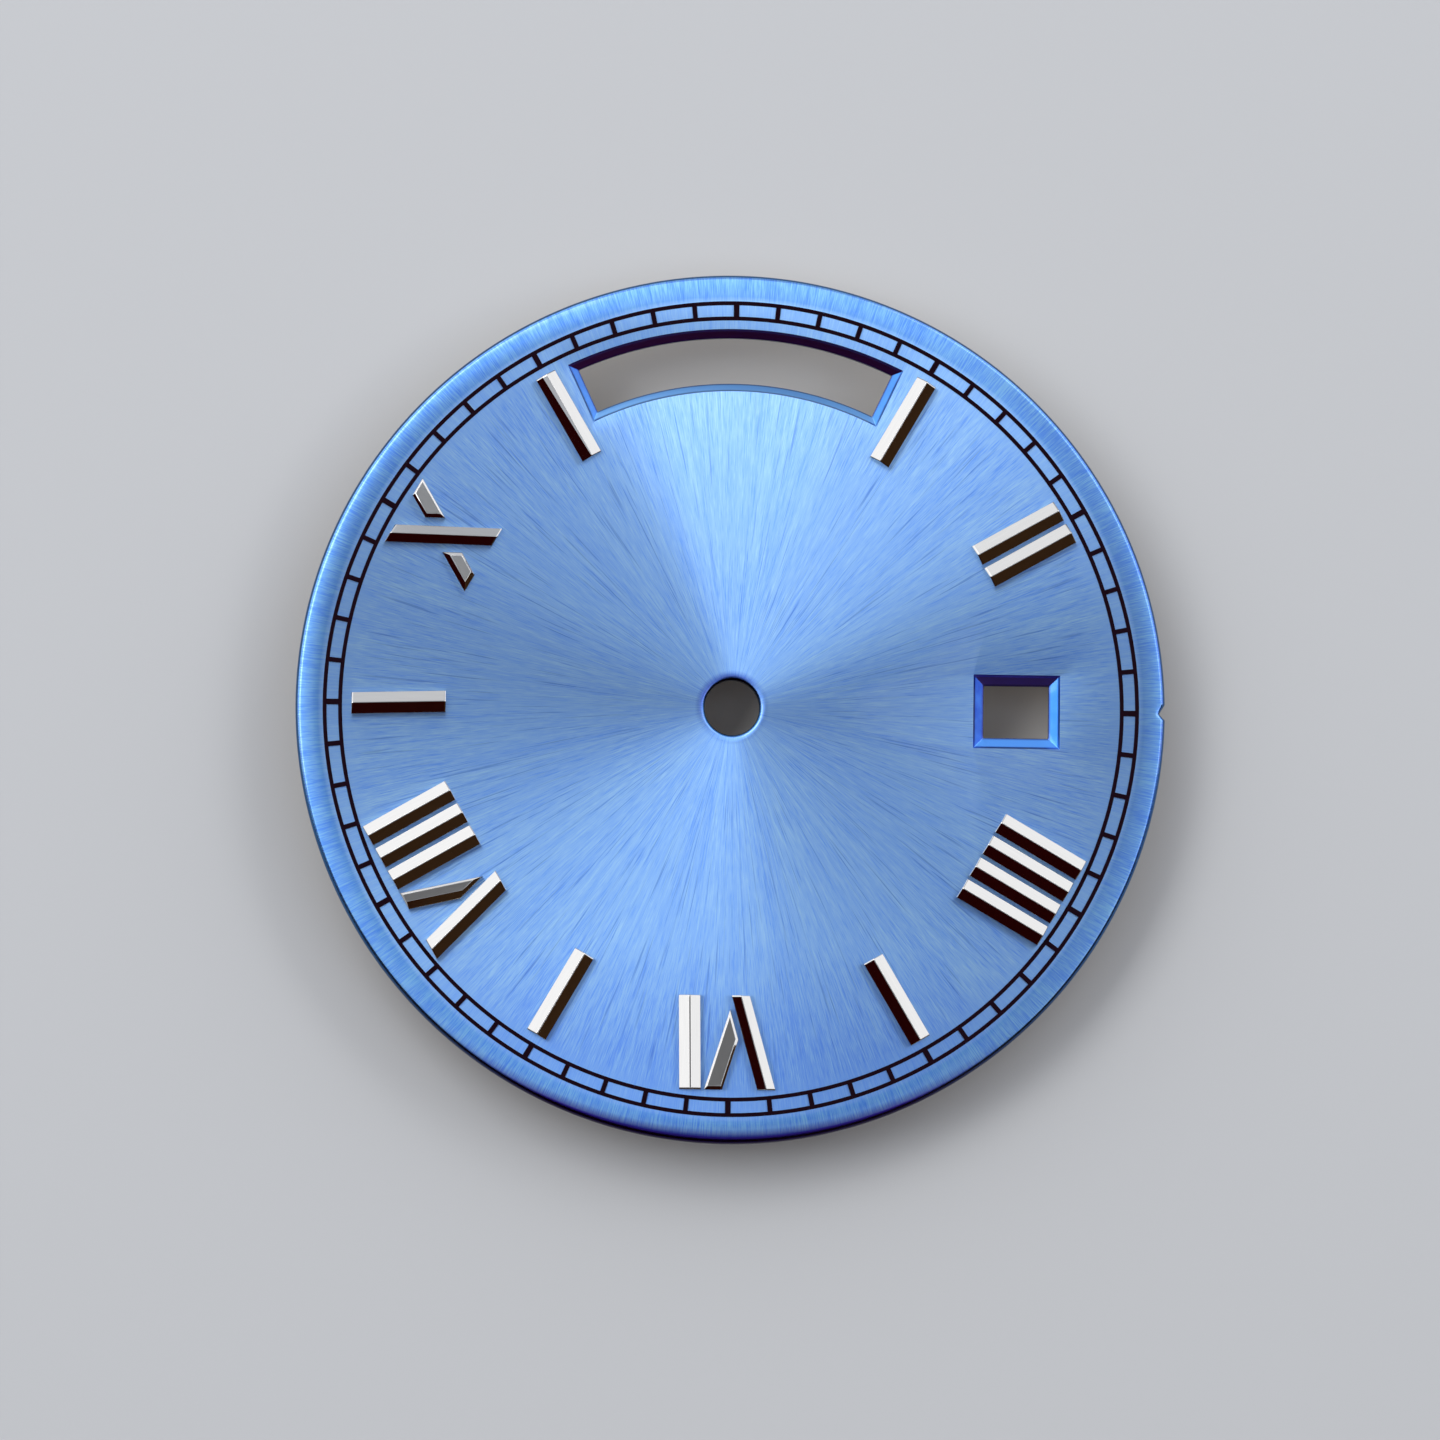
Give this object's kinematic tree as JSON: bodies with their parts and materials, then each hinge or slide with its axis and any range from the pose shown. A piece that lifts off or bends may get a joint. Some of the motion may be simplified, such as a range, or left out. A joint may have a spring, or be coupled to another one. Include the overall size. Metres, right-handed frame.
{
  "type": "watch dial",
  "caption": "Round day-date watch dial with a radially brushed face, bevelled windows, a printed minute track and polished roman hour markers.",
  "frame": {"origin": "on the hand axis, at the back face of the plate", "axes": "+Z out of the face towards the reader, +Y to 12 o'clock, +X to 3 o'clock"},
  "size_m": [0.0314, 0.0315, 0.0031],
  "materials": {
    "dial_blue": "radially brushed, translucent light blue lacquer",
    "track_ink": "printed dark ink",
    "polished_marker": "mirror polished, plated",
    "foot_metal": "turned, bare"
  },
  "bodies": {
    "root": {"dial_plate": "dial_blue", "minute_track": "track_ink", "dial_foot_a": "foot_metal", "dial_foot_b": "foot_metal", "hour_1_bar": "polished_marker", "hour_2_bar_a": "polished_marker", "hour_2_bar_b": "polished_marker", "hour_4_bar_a": "polished_marker", "hour_4_bar_b": "polished_marker", "hour_4_bar_c": "polished_marker", "hour_4_bar_d": "polished_marker", "hour_5_bar": "polished_marker", "hour_6_bar": "polished_marker", "hour_6_v_long": "polished_marker", "hour_6_v_short": "polished_marker", "hour_7_bar": "polished_marker", "hour_8_bar_a": "polished_marker", "hour_8_bar_b": "polished_marker", "hour_8_bar_c": "polished_marker", "hour_8_v_long": "polished_marker", "hour_8_v_short": "polished_marker", "hour_9_bar": "polished_marker", "hour_10_x_inner": "polished_marker", "hour_10_x_long": "polished_marker", "hour_10_x_outer": "polished_marker", "hour_11_bar": "polished_marker"}
  },
  "joints": []
}
